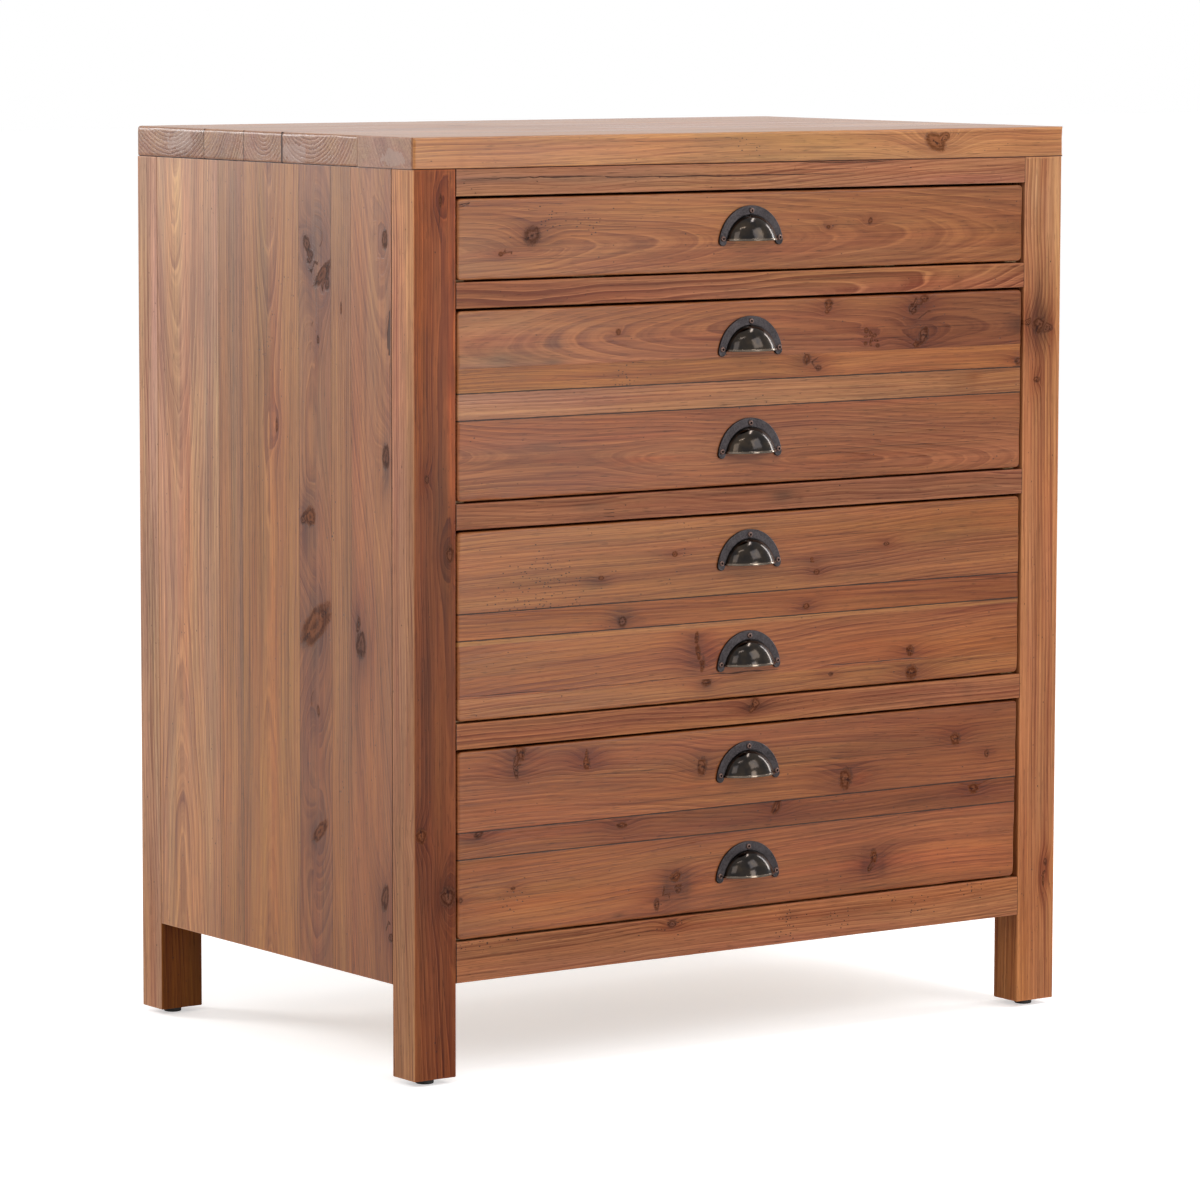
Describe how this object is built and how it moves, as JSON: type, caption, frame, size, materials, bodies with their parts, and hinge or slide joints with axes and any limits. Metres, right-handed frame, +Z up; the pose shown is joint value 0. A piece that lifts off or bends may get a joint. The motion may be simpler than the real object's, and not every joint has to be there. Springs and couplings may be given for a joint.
{
  "type": "chest of drawers",
  "caption": "Freestanding pine chest with inset drawers, cup pulls, straight legs and a plain plank top, for seeds, tools or clothes.",
  "frame": {"origin": "on the floor under the middle of the bounding box, pulls included", "axes": "+Z up, drawers open towards -Y, +X to the right of someone facing the drawers"},
  "size_m": [0.802, 0.5265, 0.912],
  "materials": {
    "stained_pine_frame": "reclaimed pine, reddish brown stain, satin wax",
    "stained_pine_drawer_front": "reclaimed pine with knots, reddish brown stain, satin wax",
    "stained_pine_side": "glued pine boards, lighter pinkish brown stain, satin wax",
    "stained_pine_top": "glued pine boards, brown stain, satin wax",
    "stained_pine_back": "stained pine boards, matt",
    "raw_pine": "planed pine, unstained, matt",
    "drawer_bottom_board": "thin pine board, unstained, matt",
    "dark_metal": "antique dark bronze lacquer, glossy bowl and duller flange",
    "pull_screw_metal": "antique dark bronze, satin",
    "steel_screw": "zinc plated, satin",
    "black_glide": "black nail-on glide, matt"
  },
  "bodies": {
    "case": {"top_panel": "stained_pine_top", "leg_front_left": "stained_pine_frame", "leg_front_right": "stained_pine_frame", "leg_back_left": "stained_pine_frame", "leg_back_right": "stained_pine_frame", "side_panel_left": "stained_pine_side", "side_panel_right": "stained_pine_side", "back_panel": "stained_pine_back", "top_rail_front": "stained_pine_frame", "mid_rail_1": "stained_pine_frame", "mid_rail_2": "stained_pine_frame", "mid_rail_3": "stained_pine_frame", "bottom_rail_front": "stained_pine_frame", "top_rail_back": "stained_pine_frame", "bottom_rail_back": "stained_pine_frame", "top_kickers": "raw_pine", "runner_left_1": "raw_pine", "runner_left_2": "raw_pine", "runner_left_3": "raw_pine", "runner_left_4": "raw_pine", "runner_right_1": "raw_pine", "runner_right_2": "raw_pine", "runner_right_3": "raw_pine", "runner_right_4": "raw_pine", "drawer_guides": "raw_pine", "drawer_stops": "raw_pine", "foot_glides": "black_glide", "case_screws": "steel_screw", "back_screws": "steel_screw"},
    "drawer_1": {"drawer_1_front": "stained_pine_drawer_front", "drawer_1_side_left": "raw_pine", "drawer_1_side_right": "raw_pine", "drawer_1_back": "raw_pine", "drawer_1_bottom": "drawer_bottom_board", "cup_pull_1": "dark_metal", "pull_screws_1": "pull_screw_metal"},
    "drawer_2": {"drawer_2_front": "stained_pine_drawer_front", "drawer_2_side_left": "raw_pine", "drawer_2_side_right": "raw_pine", "drawer_2_back": "raw_pine", "drawer_2_bottom": "drawer_bottom_board", "cup_pull_2": "dark_metal", "cup_pull_3": "dark_metal", "pull_screws_2": "pull_screw_metal"},
    "drawer_3": {"drawer_3_front": "stained_pine_drawer_front", "drawer_3_side_left": "raw_pine", "drawer_3_side_right": "raw_pine", "drawer_3_back": "raw_pine", "drawer_3_bottom": "drawer_bottom_board", "cup_pull_4": "dark_metal", "cup_pull_5": "dark_metal", "pull_screws_3": "pull_screw_metal"},
    "drawer_4": {"drawer_4_front": "stained_pine_drawer_front", "drawer_4_side_left": "raw_pine", "drawer_4_side_right": "raw_pine", "drawer_4_back": "raw_pine", "drawer_4_bottom": "drawer_bottom_board", "cup_pull_6": "dark_metal", "cup_pull_7": "dark_metal", "pull_screws_4": "pull_screw_metal"}
  },
  "joints": [
    {"name": "drawer_1_slide", "type": "slide", "parent": "case", "child": "drawer_1", "axis": [0, -1, 0], "range_m": [0, 0.34]},
    {"name": "drawer_2_slide", "type": "slide", "parent": "case", "child": "drawer_2", "axis": [0, -1, 0], "range_m": [0, 0.34]},
    {"name": "drawer_3_slide", "type": "slide", "parent": "case", "child": "drawer_3", "axis": [0, -1, 0], "range_m": [0, 0.34]},
    {"name": "drawer_4_slide", "type": "slide", "parent": "case", "child": "drawer_4", "axis": [0, -1, 0], "range_m": [0, 0.34]}
  ]
}
